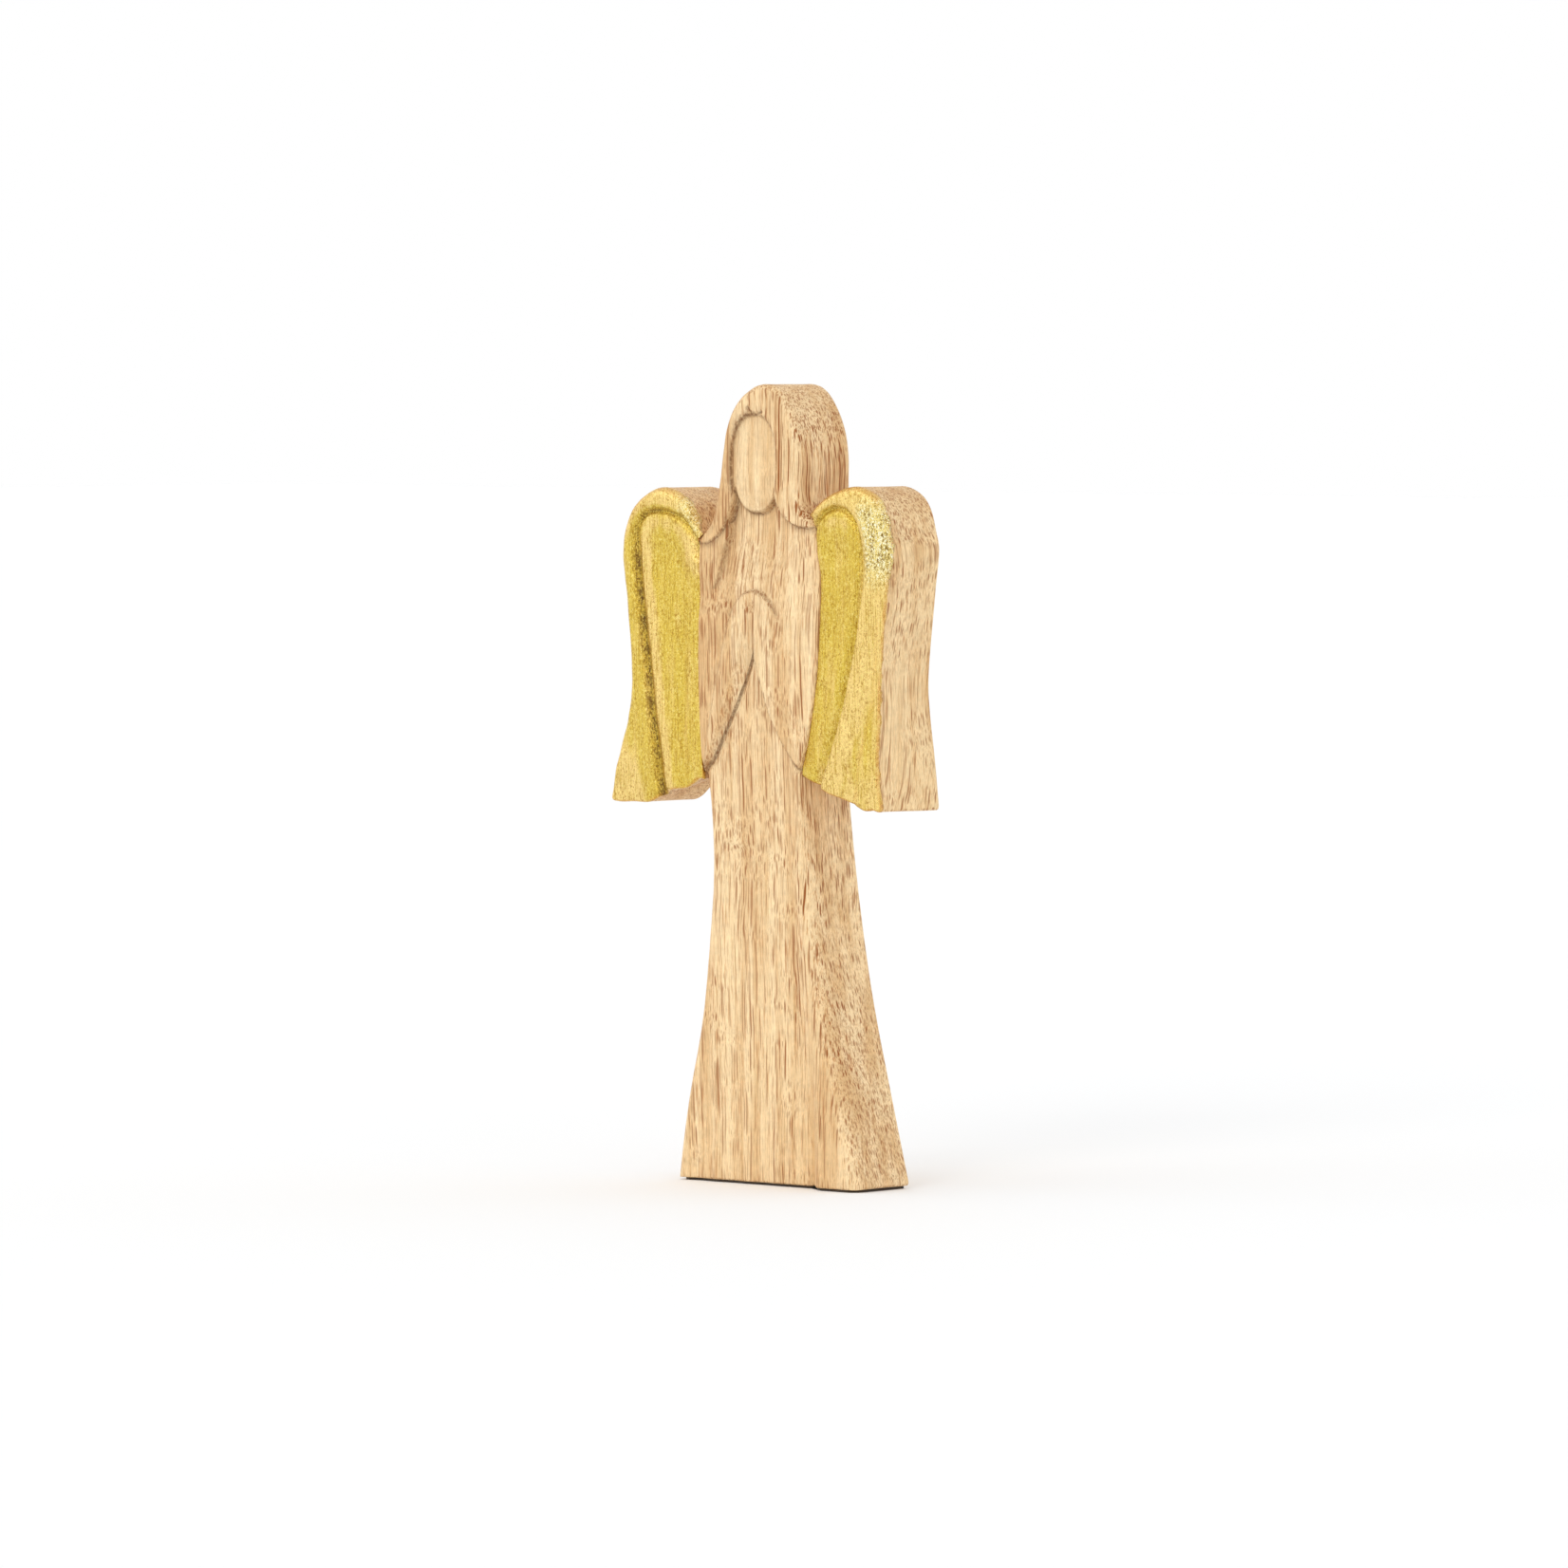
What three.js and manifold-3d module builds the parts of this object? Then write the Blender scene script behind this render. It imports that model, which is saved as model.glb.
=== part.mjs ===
// Carved wooden angel figurine, millimetres, +Z up, front towards -Y.
// The origin is on the standing plane, under the middle of the overall box.
// Left and right are as seen by someone facing the front of the figure.
import * as THREE from 'three';
import { mergeVertices } from 'three/addons/utils/BufferGeometryUtils.js';
import Module from 'manifold-3d';

const wasm = await Module();
wasm.setup();

// Driving dimensions
const HEIGHT = 250;
const BOARD = 25.4;
const FRONT = -BOARD / 2;
const BACK = BOARD / 2;
const GAP = 0.3;
const SAWN_EDGE = 1.4;
const PAD_THICKNESS = 0.8;
const PAD_INSET = 1.2;
const FOOT = PAD_THICKNESS + GAP;
const LEAF_THICKNESS = 0.5;
const LEAF_EDGE = 2;
const LEAF_RIM = FRONT + 1.8;
const DOWEL_RADIUS = 3;
const DOWEL_LENGTH = 24;
const DOWEL_HEIGHTS = [186, 150];
const DOWEL_BEHIND_MIDDLE = 2;
const BORE_RADIUS = DOWEL_RADIUS + GAP + 0.05;
const FACE_MIDDLE = [2.2, 225.6];
const FACE_HALF = [8.9, 15];
const FACE_RECESS = 1.7;
const FACE_EDGE = 0.4;
const CHEST_RECESS = 3.3;
const CHEST_TOP = 203;
const CHEST_BOTTOM = 180;
const HEM_RECESS = 4.4;
const HEM_TOP = 20;
const KNEE_RECESS = 2.1;
const KNEE_HEIGHT = 120;
const LOBE_WIDTH = 4.4;
const LOBE_DEPTH = 1.4;
const FOREARM_WIDTH = 2.4;
const FOREARM_DEPTH = 0.8;
const ROLL_WIDTH = 22;
const PAD_CORNER = 3;
const CLEAR = 6;

// Points on the sawn outlines, as [x, z]
const HIPS_LEFT = [[-32, FOOT], [-27.8, 27.5], [-21.8, 57.6], [-17.9, 92], [-18, 116], [-19.8, 130.6]];
const FLANK_LEFT = [[-19.8, 130.6], [-21, 150], [-21.2, 168], [-20.6, 190], [-20.4, 201.5]];
const HEAD = [
  [-20.4, 201.5], [-15.8, 207], [-13, 216], [-11.1, 227], [-9, 236.6], [-5.4, 243.6], [0, 248],
  [5.6, HEIGHT], [11.4, 249], [16, 244.6], [19.8, 237], [21.3, 228], [21.4, 216], [22.8, 210.4], [26.4, 208],
];
const FLANK_RIGHT = [[26.4, 208], [28.8, 198], [29.3, 184], [28, 162], [24.8, 142], [21.4, 129.5]];
const HIPS_RIGHT = [[21.4, 129.5], [22.2, 116], [26, 88], [31.5, 58.5], [39, 29], [46.4, FOOT]];

const WING_LEFT = [
  [[-16, 130.6], [-22, 130.2]],
  [[-22, 130.2], [-28, 127.2], [-35.4, 123.8]],
  [[-35.4, 123.8], [-42, 118.6], [-50, 118.2], [-58.6, 118.6]],
  [[-58.6, 118.6], [-54.1, 137], [-50.2, 149], [-49.2, 161], [-51.2, 184]],
  [[-51.2, 184], [-52.8, 198], [-48.4, 211.2], [-37, 217.6], [-25.4, 213.4], [-20.6, 205.6]],
  [[-20.6, 205.6], [-16, 198]],
];
const WING_RIGHT = [
  [[23, 209], [27, 211.6]],
  [[27, 211.6], [34.4, 216.2], [45, 218.4], [54.2, 213.2], [58.5, 199.6]],
  [[58.5, 199.6], [56.8, 184], [54.3, 161], [54.7, 149], [56.8, 134], [58.6, 118]],
  [[58.6, 118], [49.4, 118.2], [41, 120.4]],
  [[41, 120.4], [33.8, 123], [25, 127]],
  [[25, 127], [18, 130]],
];

// Middle lines of the carved grooves, as [x, z]
const LOBE_LEFT = [
  [-23.4, 203], [-26.4, 206.8], [-31, 209.2], [-36.6, 209.8], [-41.6, 207.6], [-44.2, 201.6], [-44.6, 193],
  [-42.8, 177], [-41, 162], [-38.8, 147], [-36, 135], [-34.6, 130],
];
const LOBE_RIGHT = [
  [31.6, 210.4], [36, 212], [41, 211], [45, 206.8], [47, 200], [47, 187], [44.8, 174],
  [41, 158], [36, 142], [32.6, 132],
];
const FOREARM_LEFT = [[-6.4, 184], [-10.6, 172], [-14.4, 158], [-17, 144]];
const FOREARM_RIGHT = [[9.6, 185], [15.6, 172], [20.4, 157], [23.4, 144]];

const WOOD = { color: 0xe3bf90, roughness: 0.62, metalness: 0 };
const DOWEL_WOOD = { color: 0xd9b98c, roughness: 0.7, metalness: 0 };
const LEAF = { color: 0xe0bd55, roughness: 0.36, metalness: 0.85 };
const FELT = { color: 0x2d2219, roughness: 0.95, metalness: 0 };

// A closed outline from smooth stretches that meet at corners
function outline(stretches) {
  const shape = new THREE.Shape();
  shape.moveTo(...stretches[0][0]);
  for (const stretch of stretches) {
    const points = stretch.slice(1).map(([x, z]) => new THREE.Vector2(x, z));
    if (points.length === 1) {
      shape.lineTo(points[0].x, points[0].y);
    } else {
      shape.splineThru(points);
    }
  }
  return shape;
}

// A band of one width that follows a smooth line
function band(points, width) {
  const line = new THREE.SplineCurve(points.map(([x, z]) => new THREE.Vector2(x, z)));
  const steps = points.length * 2;
  const near = [];
  const far = [];
  for (let step = 0; step <= steps; step += 1) {
    const along = line.getPoint(step / steps);
    const tangent = line.getTangent(step / steps);
    const side = new THREE.Vector2(-tangent.y, tangent.x).multiplyScalar(width / 2);
    near.push(along.clone().add(side));
    far.unshift(along.clone().sub(side));
  }
  return new THREE.Shape([...near, ...far]);
}

function toSolid(geometry) {
  const bare = geometry.clone();
  bare.deleteAttribute('normal');
  bare.deleteAttribute('uv');
  const merged = mergeVertices(bare, 1e-4);
  return new wasm.Manifold(new wasm.Mesh({
    numProp: 3,
    vertProperties: new Float32Array(merged.attributes.position.array),
    triVerts: new Uint32Array(merged.index.array),
  }));
}

function toGeometry(solid) {
  const mesh = solid.getMesh();
  const geometry = new THREE.BufferGeometry();
  geometry.setAttribute('position', new THREE.BufferAttribute(mesh.vertProperties, 3));
  geometry.setIndex(new THREE.BufferAttribute(mesh.triVerts, 1));
  return geometry;
}

// A board cut to an outline in x and z, from front to back along y, with softened edges
function board(shape, front, back, edge, curveSegments = 2) {
  const geometry = new THREE.ExtrudeGeometry(shape, {
    depth: back - front - 2 * edge,
    curveSegments,
    bevelEnabled: edge > 0,
    bevelThickness: edge,
    bevelSize: edge,
    bevelOffset: -edge,
    bevelSegments: edge > 1 ? 2 : 1,
  });
  geometry.rotateX(Math.PI / 2);
  geometry.translate(0, back - edge, 0);
  return toSolid(geometry);
}

// A board outline grown by a clearance, right through the thickness
function clearance(shape) {
  const geometry = new THREE.ExtrudeGeometry(shape, {
    depth: 2 * BOARD,
    curveSegments: 2,
    bevelThickness: GAP,
    bevelSize: GAP,
    bevelSegments: 1,
  });
  geometry.rotateX(Math.PI / 2);
  geometry.translate(0, BOARD, 0);
  return toSolid(geometry);
}

// A prism along x whose section is drawn in y and z
function prismAlongX(section, fromX, toX) {
  const shape = new THREE.Shape(section.map(([y, z]) => new THREE.Vector2(y, z)));
  const geometry = new THREE.ExtrudeGeometry(shape, { depth: toX - fromX, bevelEnabled: false });
  geometry.applyMatrix4(new THREE.Matrix4().makeBasis(
    new THREE.Vector3(0, 1, 0),
    new THREE.Vector3(0, 0, 1),
    new THREE.Vector3(1, 0, 0),
  ));
  geometry.translate(fromX, 0, 0);
  return toSolid(geometry);
}

// A cut with sloping walls that reaches a depth behind the board's front
function gouge(shape, depth) {
  return board(shape, FRONT - CLEAR, FRONT + depth, depth);
}

function rod(radius, length, x, z) {
  const geometry = new THREE.CylinderGeometry(radius, radius, length, 24);
  geometry.rotateZ(Math.PI / 2);
  geometry.translate(x, DOWEL_BEHIND_MIDDLE, z);
  return toSolid(geometry);
}

// The middle of each dowel is where its flank crosses the dowel's height
function crossing(flank, height) {
  const line = new THREE.SplineCurve(flank.map(([x, z]) => new THREE.Vector2(x, z)));
  const points = line.getPoints(60);
  const nearest = points.reduce((best, point) => (
    Math.abs(point.y - height) < Math.abs(best.y - height) ? point : best
  ));
  return nearest.x;
}

const bodyOutline = outline([
  HIPS_LEFT,
  FLANK_LEFT,
  HEAD,
  FLANK_RIGHT,
  HIPS_RIGHT,
  [HIPS_RIGHT[HIPS_RIGHT.length - 1], HIPS_LEFT[0]],
]);

function dowelPlaces() {
  const places = [];
  const flanks = { left: FLANK_LEFT, right: FLANK_RIGHT };
  for (const [side, flank] of Object.entries(flanks)) {
    DOWEL_HEIGHTS.forEach((height, index) => {
      const level = index === 0 ? 'upper' : 'lower';
      places.push({ name: `${side}_${level}_dowel`, x: crossing(flank, height), z: height });
    });
  }
  return places;
}

function dowelBores() {
  const bores = dowelPlaces().map(({ x, z }) => (
    rod(BORE_RADIUS, DOWEL_LENGTH + 2 * GAP, x, z)
  ));
  return wasm.Manifold.union(bores);
}

// The blank oval of the face, lower than the hair around it
function faceCut() {
  const oval = new THREE.Shape();
  oval.absellipse(...FACE_MIDDLE, ...FACE_HALF, 0, 2 * Math.PI, false, 0);
  return board(oval, FRONT - CLEAR, FRONT + FACE_RECESS, FACE_EDGE, 12);
}

// The chest under the chin and the hair, deepest at the neck and running out at the hands
function chestCut() {
  const area = new THREE.Shape();
  area.moveTo(-26, 200);
  area.lineTo(-20, 200.4);
  area.quadraticCurveTo(-9.6, 203.4, -6.6, 215);
  area.quadraticCurveTo(-3, 209.6, 2.2, 209.4);
  area.quadraticCurveTo(7.6, 209.6, 11, 215);
  area.quadraticCurveTo(14, 205.4, 25, 206.4);
  area.lineTo(34, 208);
  area.lineTo(34, 174);
  area.lineTo(-26, 174);
  area.closePath();
  const deep = FRONT + CHEST_RECESS;
  const slope = prismAlongX([
    [FRONT - 2, CHEST_BOTTOM - CLEAR],
    [FRONT, CHEST_BOTTOM],
    [deep, CHEST_TOP],
    [deep, CHEST_TOP + 3 * CLEAR],
    [FRONT - 2, CHEST_TOP + 3 * CLEAR],
  ], -BOARD * 2, BOARD * 2);
  return board(area, FRONT - CLEAR, FRONT + CLEAR, 0, 6).intersect(slope);
}

// The robe's front, cut back under the inverted V of the sleeves down to the hem
function robeCut() {
  const area = new THREE.Shape();
  area.moveTo(3.2, 177);
  area.quadraticCurveTo(-2, 152, -18, 129);
  area.lineTo(-40, 126);
  area.lineTo(-44, -4);
  area.lineTo(22, -4);
  area.quadraticCurveTo(13, 60, 15.6, 138);
  area.quadraticCurveTo(8, 156, 3.2, 177);
  const slope = prismAlongX([
    [FRONT - CLEAR, -CLEAR],
    [FRONT + HEM_RECESS, -CLEAR],
    [FRONT + HEM_RECESS, HEM_TOP],
    [FRONT + KNEE_RECESS, KNEE_HEIGHT],
    [FRONT + KNEE_RECESS, CHEST_BOTTOM],
    [FRONT - CLEAR, CHEST_BOTTOM],
  ], -BOARD * 2, BOARD * 2);
  return board(area, FRONT - CLEAR, FRONT + CLEAR, 0, 5).intersect(slope);
}

function carvedBody() {
  const cuts = [
    faceCut(),
    chestCut(),
    robeCut(),
    gouge(band(FOREARM_LEFT, FOREARM_WIDTH), FOREARM_DEPTH),
    gouge(band(FOREARM_RIGHT, FOREARM_WIDTH), FOREARM_DEPTH),
    dowelBores(),
  ];
  return board(bodyOutline, FRONT, BACK, SAWN_EDGE).subtract(wasm.Manifold.union(cuts));
}

// The gilded front surface of a wing, with the groove round its inner lobe
function wingSurface(shape, lobe, front, edge) {
  const grooved = board(shape, front, BACK, edge).subtract(
    gouge(band(lobe, LOBE_WIDTH), LOBE_DEPTH).translate([0, front - FRONT, 0]),
  );
  return grooved.subtract(clearance(bodyOutline));
}

function wingBlock(shape, lobe) {
  const lowered = LEAF_THICKNESS + GAP;
  return wingSurface(shape, lobe, FRONT + lowered, LEAF_EDGE).subtract(dowelBores());
}

// A thin skin over the wing's front that turns over its edges
function gilding(shape, lobe) {
  const outer = wingSurface(shape, lobe, FRONT, LEAF_EDGE);
  const inner = board(shape, FRONT + LEAF_THICKNESS, BACK + 1, LEAF_EDGE).subtract(
    gouge(band(lobe, LOBE_WIDTH), LOBE_DEPTH).translate([0, LEAF_THICKNESS, 0]),
  );
  const behind = prismAlongX([
    [LEAF_RIM, 0],
    [BACK + CLEAR, 0],
    [BACK + CLEAR, HEIGHT],
    [LEAF_RIM, HEIGHT],
  ], -BOARD * 3, BOARD * 3);
  return outer.subtract(inner).subtract(behind);
}

// The felt under the hem, inside the outline of the cut base
function basePad() {
  const left = HIPS_LEFT[0][0] + PAD_INSET + PAD_CORNER - 1;
  const right = HIPS_RIGHT[HIPS_RIGHT.length - 1][0] - PAD_INSET - PAD_CORNER + 1;
  const back = BACK - PAD_INSET - SAWN_EDGE;
  const front = FRONT + HEM_RECESS + PAD_INSET;
  const shape = new THREE.Shape();
  shape.moveTo(left, front);
  const roll = right - ROLL_WIDTH;
  shape.lineTo(roll, front);
  shape.quadraticCurveTo(roll + 6, front, roll + 12, front - 2.6);
  shape.quadraticCurveTo(right, front - 3, right, front + 5);
  shape.lineTo(right, back - PAD_CORNER);
  shape.quadraticCurveTo(right, back, right - PAD_CORNER, back);
  shape.lineTo(left + PAD_CORNER, back);
  shape.quadraticCurveTo(left, back, left, back - PAD_CORNER);
  shape.closePath();
  return toSolid(new THREE.ExtrudeGeometry(shape, {
    depth: PAD_THICKNESS,
    bevelEnabled: false,
    curveSegments: 5,
  }));
}

const figurine = new THREE.Group();

function addPiece(name, solid, finish) {
  const mesh = new THREE.Mesh(toGeometry(solid), new THREE.MeshStandardMaterial(finish));
  mesh.name = name;
  figurine.add(mesh);
}

addPiece('carved_body', carvedBody(), WOOD);
addPiece('left_wing', wingBlock(outline(WING_LEFT), LOBE_LEFT), WOOD);
addPiece('right_wing', wingBlock(outline(WING_RIGHT), LOBE_RIGHT), WOOD);
addPiece('left_wing_gilding', gilding(outline(WING_LEFT), LOBE_LEFT), LEAF);
addPiece('right_wing_gilding', gilding(outline(WING_RIGHT), LOBE_RIGHT), LEAF);
for (const { name, x, z } of dowelPlaces()) {
  addPiece(name, rod(DOWEL_RADIUS, DOWEL_LENGTH, x, z), DOWEL_WOOD);
}
addPiece('base_pad', basePad(), FELT);

export default figurine;
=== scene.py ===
"""Carved wooden angel with gilded wings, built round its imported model. Lengths here are millimetres."""

import math

import bpy
import numpy as np
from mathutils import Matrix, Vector
from mathutils.geometry import delaunay_2d_cdt


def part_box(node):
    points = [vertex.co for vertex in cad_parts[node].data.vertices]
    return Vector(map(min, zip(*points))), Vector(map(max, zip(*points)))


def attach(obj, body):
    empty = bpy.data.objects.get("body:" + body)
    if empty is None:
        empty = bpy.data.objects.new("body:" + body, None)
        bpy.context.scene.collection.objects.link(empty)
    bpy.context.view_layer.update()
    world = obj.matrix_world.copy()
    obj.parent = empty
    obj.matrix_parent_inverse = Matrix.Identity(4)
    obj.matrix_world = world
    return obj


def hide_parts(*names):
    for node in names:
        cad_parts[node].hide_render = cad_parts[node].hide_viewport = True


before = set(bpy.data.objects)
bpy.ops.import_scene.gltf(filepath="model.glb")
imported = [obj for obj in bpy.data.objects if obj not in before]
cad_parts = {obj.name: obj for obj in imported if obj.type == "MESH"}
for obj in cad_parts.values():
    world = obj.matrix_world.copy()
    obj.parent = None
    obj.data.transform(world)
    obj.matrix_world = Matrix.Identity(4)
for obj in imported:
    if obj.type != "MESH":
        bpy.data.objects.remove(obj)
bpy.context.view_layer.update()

MM = 0.001
BOARD_LOW, BOARD_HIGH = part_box("carved_body")
FRONT = BOARD_LOW.y / MM
BACK = BOARD_HIGH.y / MM
FOOT = BOARD_LOW.z / MM
HEIGHT = BOARD_HIGH.z / MM

# How fine the worked surfaces are
FRONT_STEP = 0.6
BACK_STEP = 2.6
EDGE_STEP = 0.6
SIDE_STEP = 2.4
RING_SHARES = (0.04, 0.15, 0.32, 0.55, 0.8, 1.05)

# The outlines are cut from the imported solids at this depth, and kept sharp where they turn this much
SLICE_AT = -6.0
CORNER_TURN = 34
FLAT_SLACK = 0.004

# Glue line, softened edges, planing marks and leaf
SEAM = 0.1
BACK_EDGE = 1.1
SIDE_WAVE = 0.05
BACK_WAVE = 0.1
FOOT_EDGE = 0.5
LEAF_LIFT = 0.09
LEAF_INSIDE = 0.25

# How far the wings' lower corners are worked by hand, and the pad
INNER_HANG = 4.0
OUTER_CUT = 4.2
PAD_GLUE = 0.28
PAD_CORNER = 4.0
PAD_STEP = 0.8
PAD_FRAY = 0.05

# The middle of the shoulders, a little to the right of the whole box's, and two heights
MIDDLE = 3
SHOULDERS = 206
WINGS_FOOT = 131


# ---------------------------------------------------------------- lines and areas in x and z


def smooth(low, high, value):
    """0 below low, 1 above high, with a soft turn between."""
    t = np.clip((value - low) / (high - low), 0, 1)
    return t * t * (3 - 2 * t)


def bump(off, width):
    """1 on a line, falling softly to 0 at a few widths from it."""
    return np.exp(-((off / width) ** 2))


def curve(points, step=0.5):
    """A smooth line through given points, however unevenly they are spaced."""
    p = np.array(points, float)
    ends = np.vstack([2 * p[0] - p[1], p, 2 * p[-1] - p[-2]])
    out = []
    for a, b, c, d in zip(ends, ends[1:], ends[2:], ends[3:]):
        pairs = ((a, b), (b, c), (c, d))
        gaps = [max(np.hypot(*(after - before)), 1e-6) ** 0.5 for before, after in pairs]
        knots = np.concatenate([[0], np.cumsum(gaps)])
        count = max(2, int(np.hypot(*(c - b)) / step))
        t = knots[1] + (knots[2] - knots[1]) * np.linspace(0, 1, count, endpoint=False)[:, None]
        out.append(through_four((a, b, c, d), knots, t))
    out.append(p[-1:])
    return np.vstack(out)


def through_four(points, knots, t):
    """Points of a centripetal spline between the middle two of four."""
    level = list(points)
    for reach in (1, 2, 3):
        if reach == 3:
            spans = [(1, 2)]
        else:
            spans = [(k, k + reach) for k in range(4 - reach)]
        level = [
            ((knots[high] - t) * level[k] + (t - knots[low]) * level[k + 1]) / (knots[high] - knots[low])
            for k, (low, high) in enumerate(spans)
        ]
    return level[0]


def beside(x, z, line):
    """Distance from a line, positive on its left, and how far along it the nearest point is, 0 to 1."""
    a, b = line[:-1], line[1:]
    step = b - a
    length2 = np.maximum((step**2).sum(1), 1e-12)
    stride = max(1, len(a) // 90)
    reach = np.arange(-stride - 1, stride + 2) if stride > 1 else None
    flat = np.stack([np.ravel(x), np.ravel(z)], -1)
    signed = np.empty(len(flat))
    along = np.empty(len(flat))
    for start in range(0, len(flat), 6000):
        q = flat[start : start + 6000]
        row = np.arange(len(q))
        if reach is None:
            pick = np.broadcast_to(np.arange(len(a)), (len(q), len(a)))
        else:
            rough = ((q[:, None] - a[None, ::stride]) ** 2).sum(2).argmin(1) * stride
            pick = np.clip(rough[:, None] + reach[None], 0, len(a) - 1)
            closed = np.hypot(*(line[0] - line[-1])) < 1e-9
            if closed:
                pick = (rough[:, None] + reach[None]) % len(a)
        rel = q[:, None] - a[pick]
        t = np.clip((rel * step[pick]).sum(2) / length2[pick], 0, 1)
        off = rel - t[..., None] * step[pick]
        gap2 = (off**2).sum(2)
        least = gap2.argmin(1)
        best = pick[row, least]
        nearest = rel[row, least]
        cross = step[best, 0] * nearest[:, 1] - step[best, 1] * nearest[:, 0]
        signed[start : start + 6000] = np.sqrt(gap2[row, least]) * np.where(cross >= 0, 1, -1)
        along[start : start + 6000] = (best + t[row, least]) / len(a)
    return signed.reshape(np.shape(x)), along.reshape(np.shape(x))


def wander(x, z, size, seed, height=1.0):
    """Slow unevenness of a hand-worked surface, about -1 to 1."""
    turn = np.random.default_rng(seed)
    total = np.zeros(np.shape(x))
    for _ in range(5):
        angle = turn.uniform(0, math.pi)
        pitch = size * turn.uniform(0.7, 1.5)
        phase = turn.uniform(0, 2 * math.pi)
        total += np.sin(2 * math.pi * (x * math.cos(angle) + z / height * math.sin(angle)) / pitch + phase)
    return total / 3


# ---------------------------------------------------------------- the sawn outlines, taken from the frame


def sliced_outline(node):
    """The outline of a node's board, cut through its thickness, as corners and facets."""
    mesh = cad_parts[node].data
    mesh.calc_loop_triangles()
    co = np.array([v.co for v in mesh.vertices], float) / MM
    links = {}
    for tri in mesh.loop_triangles:
        p = co[list(tri.vertices)]
        side = p[:, 1] > SLICE_AT
        if side.all() or not side.any():
            continue
        ends = []
        for i in range(3):
            j = (i + 1) % 3
            if side[i] != side[j]:
                t = (SLICE_AT - p[i, 1]) / (p[j, 1] - p[i, 1])
                cut = p[i] + t * (p[j] - p[i])
                ends.append((round(cut[0], 3), round(cut[2], 3)))
        if ends[0] != ends[1]:
            links.setdefault(ends[0], []).append(ends[1])
            links.setdefault(ends[1], []).append(ends[0])
    loops = []
    while links:
        start = next(iter(links))
        loop, last, here = [start], None, start
        while True:
            onward = [n for n in links.pop(here, []) if n != last and n in links]
            if not onward:
                break
            last, here = here, onward[0]
            loop.append(here)
        loops.append(loop)
    return np.array(max(loops, key=len), float)


def without_flats(loop):
    """The same outline with the points that lie on a straight run taken out."""
    keep = list(range(len(loop)))
    changed = True
    while changed:
        changed = False
        for k in range(len(keep) - 1, -1, -1):
            a = loop[keep[k - 1]]
            b = loop[keep[k]]
            c = loop[keep[(k + 1) % len(keep)]]
            span = np.hypot(*(c - a))
            off = abs((c[0] - a[0]) * (b[1] - a[1]) - (c[1] - a[1]) * (b[0] - a[0])) / max(span, 1e-9)
            if off < FLAT_SLACK or np.hypot(*(b - a)) < 0.05:
                keep.pop(k)
                changed = True
    return loop[keep]


def smooth_outline(node):
    """The outline as even short steps: smooth between its real corners, anticlockwise from the front."""
    loop = without_flats(sliced_outline(node))
    area = np.sum(loop[:, 0] * np.roll(loop[:, 1], -1) - np.roll(loop[:, 0], -1) * loop[:, 1])
    if area < 0:
        loop = loop[::-1]
    before = loop - np.roll(loop, 1, 0)
    after = np.roll(loop, -1, 0) - loop
    turn = np.degrees(
        np.arctan2(
            before[:, 0] * after[:, 1] - before[:, 1] * after[:, 0],
            (before * after).sum(1),
        )
    )
    corners = [i for i in range(len(loop)) if abs(turn[i]) > CORNER_TURN] or [0]
    pieces = []
    for k, start in enumerate(corners):
        stop = corners[(k + 1) % len(corners)]
        if stop <= start:
            stop += len(loop)
        run = loop[[i % len(loop) for i in range(start, stop + 1)]]
        line = curve(run, 0.1) if len(run) > 2 else np.array([run[0], run[-1]])
        length = run_length(line)
        count = max(2, int(round(length[-1] / EDGE_STEP)))
        at = np.linspace(0, length[-1], count, endpoint=False)
        pieces.append(np.stack([np.interp(at, length, line[:, 0]), np.interp(at, length, line[:, 1])], -1))
    return np.vstack(pieces)


def eased(loop, where, width):
    """The outline with its corners worn round wherever the test holds."""
    soft = np.stack([evened(loop[:, 0], width), evened(loop[:, 1], width)], -1)
    share = evened(where(loop[:, 0], loop[:, 1]).astype(float), width)[:, None]
    return loop + (soft - loop) * share


def run_length(line):
    """How far along a line each of its points lies."""
    return np.concatenate([[0], np.cumsum(np.hypot(*np.diff(line, axis=0).T))])


def outward(loop):
    """Unit normals of an anticlockwise outline."""
    along = np.roll(loop, -1, 0) - np.roll(loop, 1, 0)
    normal = np.stack([along[:, 1], -along[:, 0]], -1)
    return normal / np.maximum(np.linalg.norm(normal, axis=1), 1e-9)[:, None]


def evened(values, width):
    """A closed run of values, averaged over neighbours."""
    kernel = np.hanning(2 * width + 3)[1:-1]
    kernel /= kernel.sum()
    wrapped = np.concatenate([values[-width:], values, values[:width]])
    return np.convolve(wrapped, kernel, "valid")


# ---------------------------------------------------------------- the carving, as depth behind the front

FACE_MIDDLE = (2.7, 225.2)
FACE_HALF = (9.2, 15.2)
FACE_SQUARENESS = 2.5
HAIRLINE = curve([
    (-26, 200.4), (-19.6, 200.5), (-16.6, 200.8), (-12, 203.6), (-8.5, 207.6), (-6.3, 212.6), (-5, 220),
    (2.7, 228), (10, 220), (11.9, 213.6), (13.4, 210.6), (16.4, 207.8), (19.4, 206.3), (24, 205.7), (31, 206),
])
HANDS_MIDDLE = 2.6
SLEEVES_TOP = 186
CHEST_LEFT = curve([(-9.2, 208.4), (-8.2, 204), (-10, 198.4), (-11.2, 193), (-13.6, 187.5), (-17, 183)])
SLEEVE_TOP_LEFT = curve([(-5.4, 182), (-8.2, 175), (-11.6, 163), (-14.6, 150), (-17.2, 137), (-18.4, 128)])
SLEEVE_UNDER_LEFT = curve([
    (2.6, 178), (2.2, 171), (-0.6, 161), (-4.4, 153), (-8.2, 146), (-11.8, 139.4), (-14.8, 134), (-19.6, 128),
])
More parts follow.
